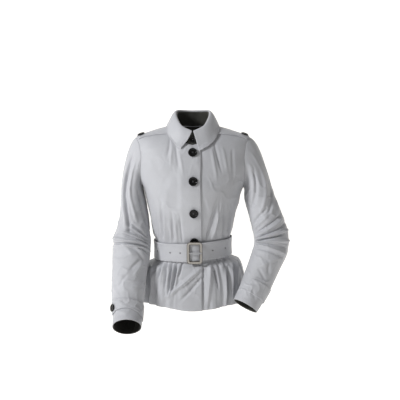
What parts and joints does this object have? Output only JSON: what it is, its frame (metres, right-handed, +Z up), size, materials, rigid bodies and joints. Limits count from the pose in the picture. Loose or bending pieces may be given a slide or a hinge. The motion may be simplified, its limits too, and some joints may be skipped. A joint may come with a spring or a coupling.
{
  "type": "trench coat",
  "caption": "Short belted trench jacket, worn shape and hollow: buttoned front, pointed collar, epaulettes, covered buckle and gathered peplum.",
  "frame": {"origin": "middle of the neck opening, level with the middle of the shoulder seams, where the wearer's shoulders hold the garment", "axes": "+Z up, -Y towards the front of the garment, +X towards the wearer's left"},
  "size_m": [0.5637, 0.3417, 0.6826],
  "materials": {
    "cloth": "pale grey-blue cotton gabardine, fine twill, slight sheen",
    "lining": "plain dark woven lining",
    "button": "black gloss, dished with a raised rim",
    "buckle": "light grey-beige covering with darker edges"
  },
  "bodies": {
    "root": {"bodice_front_right": "cloth", "bodice_front_left": "cloth", "bodice_back": "cloth", "peplum_front_right": "cloth", "peplum_front_left": "cloth", "peplum_back": "cloth", "sleeve_right": "cloth", "sleeve_left": "cloth", "sleeve_lining_right": "lining", "sleeve_lining_left": "lining", "cuff_strap_right": "cloth", "cuff_strap_left": "cloth", "cuff_button_right": "button", "cuff_button_left": "button", "collar_fall": "cloth", "collar_stand": "lining", "neck_button": "button", "epaulette_right": "cloth", "epaulette_left": "cloth", "epaulette_button_right": "button", "epaulette_button_left": "button", "belt": "cloth", "belt_buckle": "buckle", "buckle_prong": "buckle", "front_button_1": "button", "front_button_2": "button", "front_button_3": "button", "front_button_4": "button"}
  },
  "joints": []
}
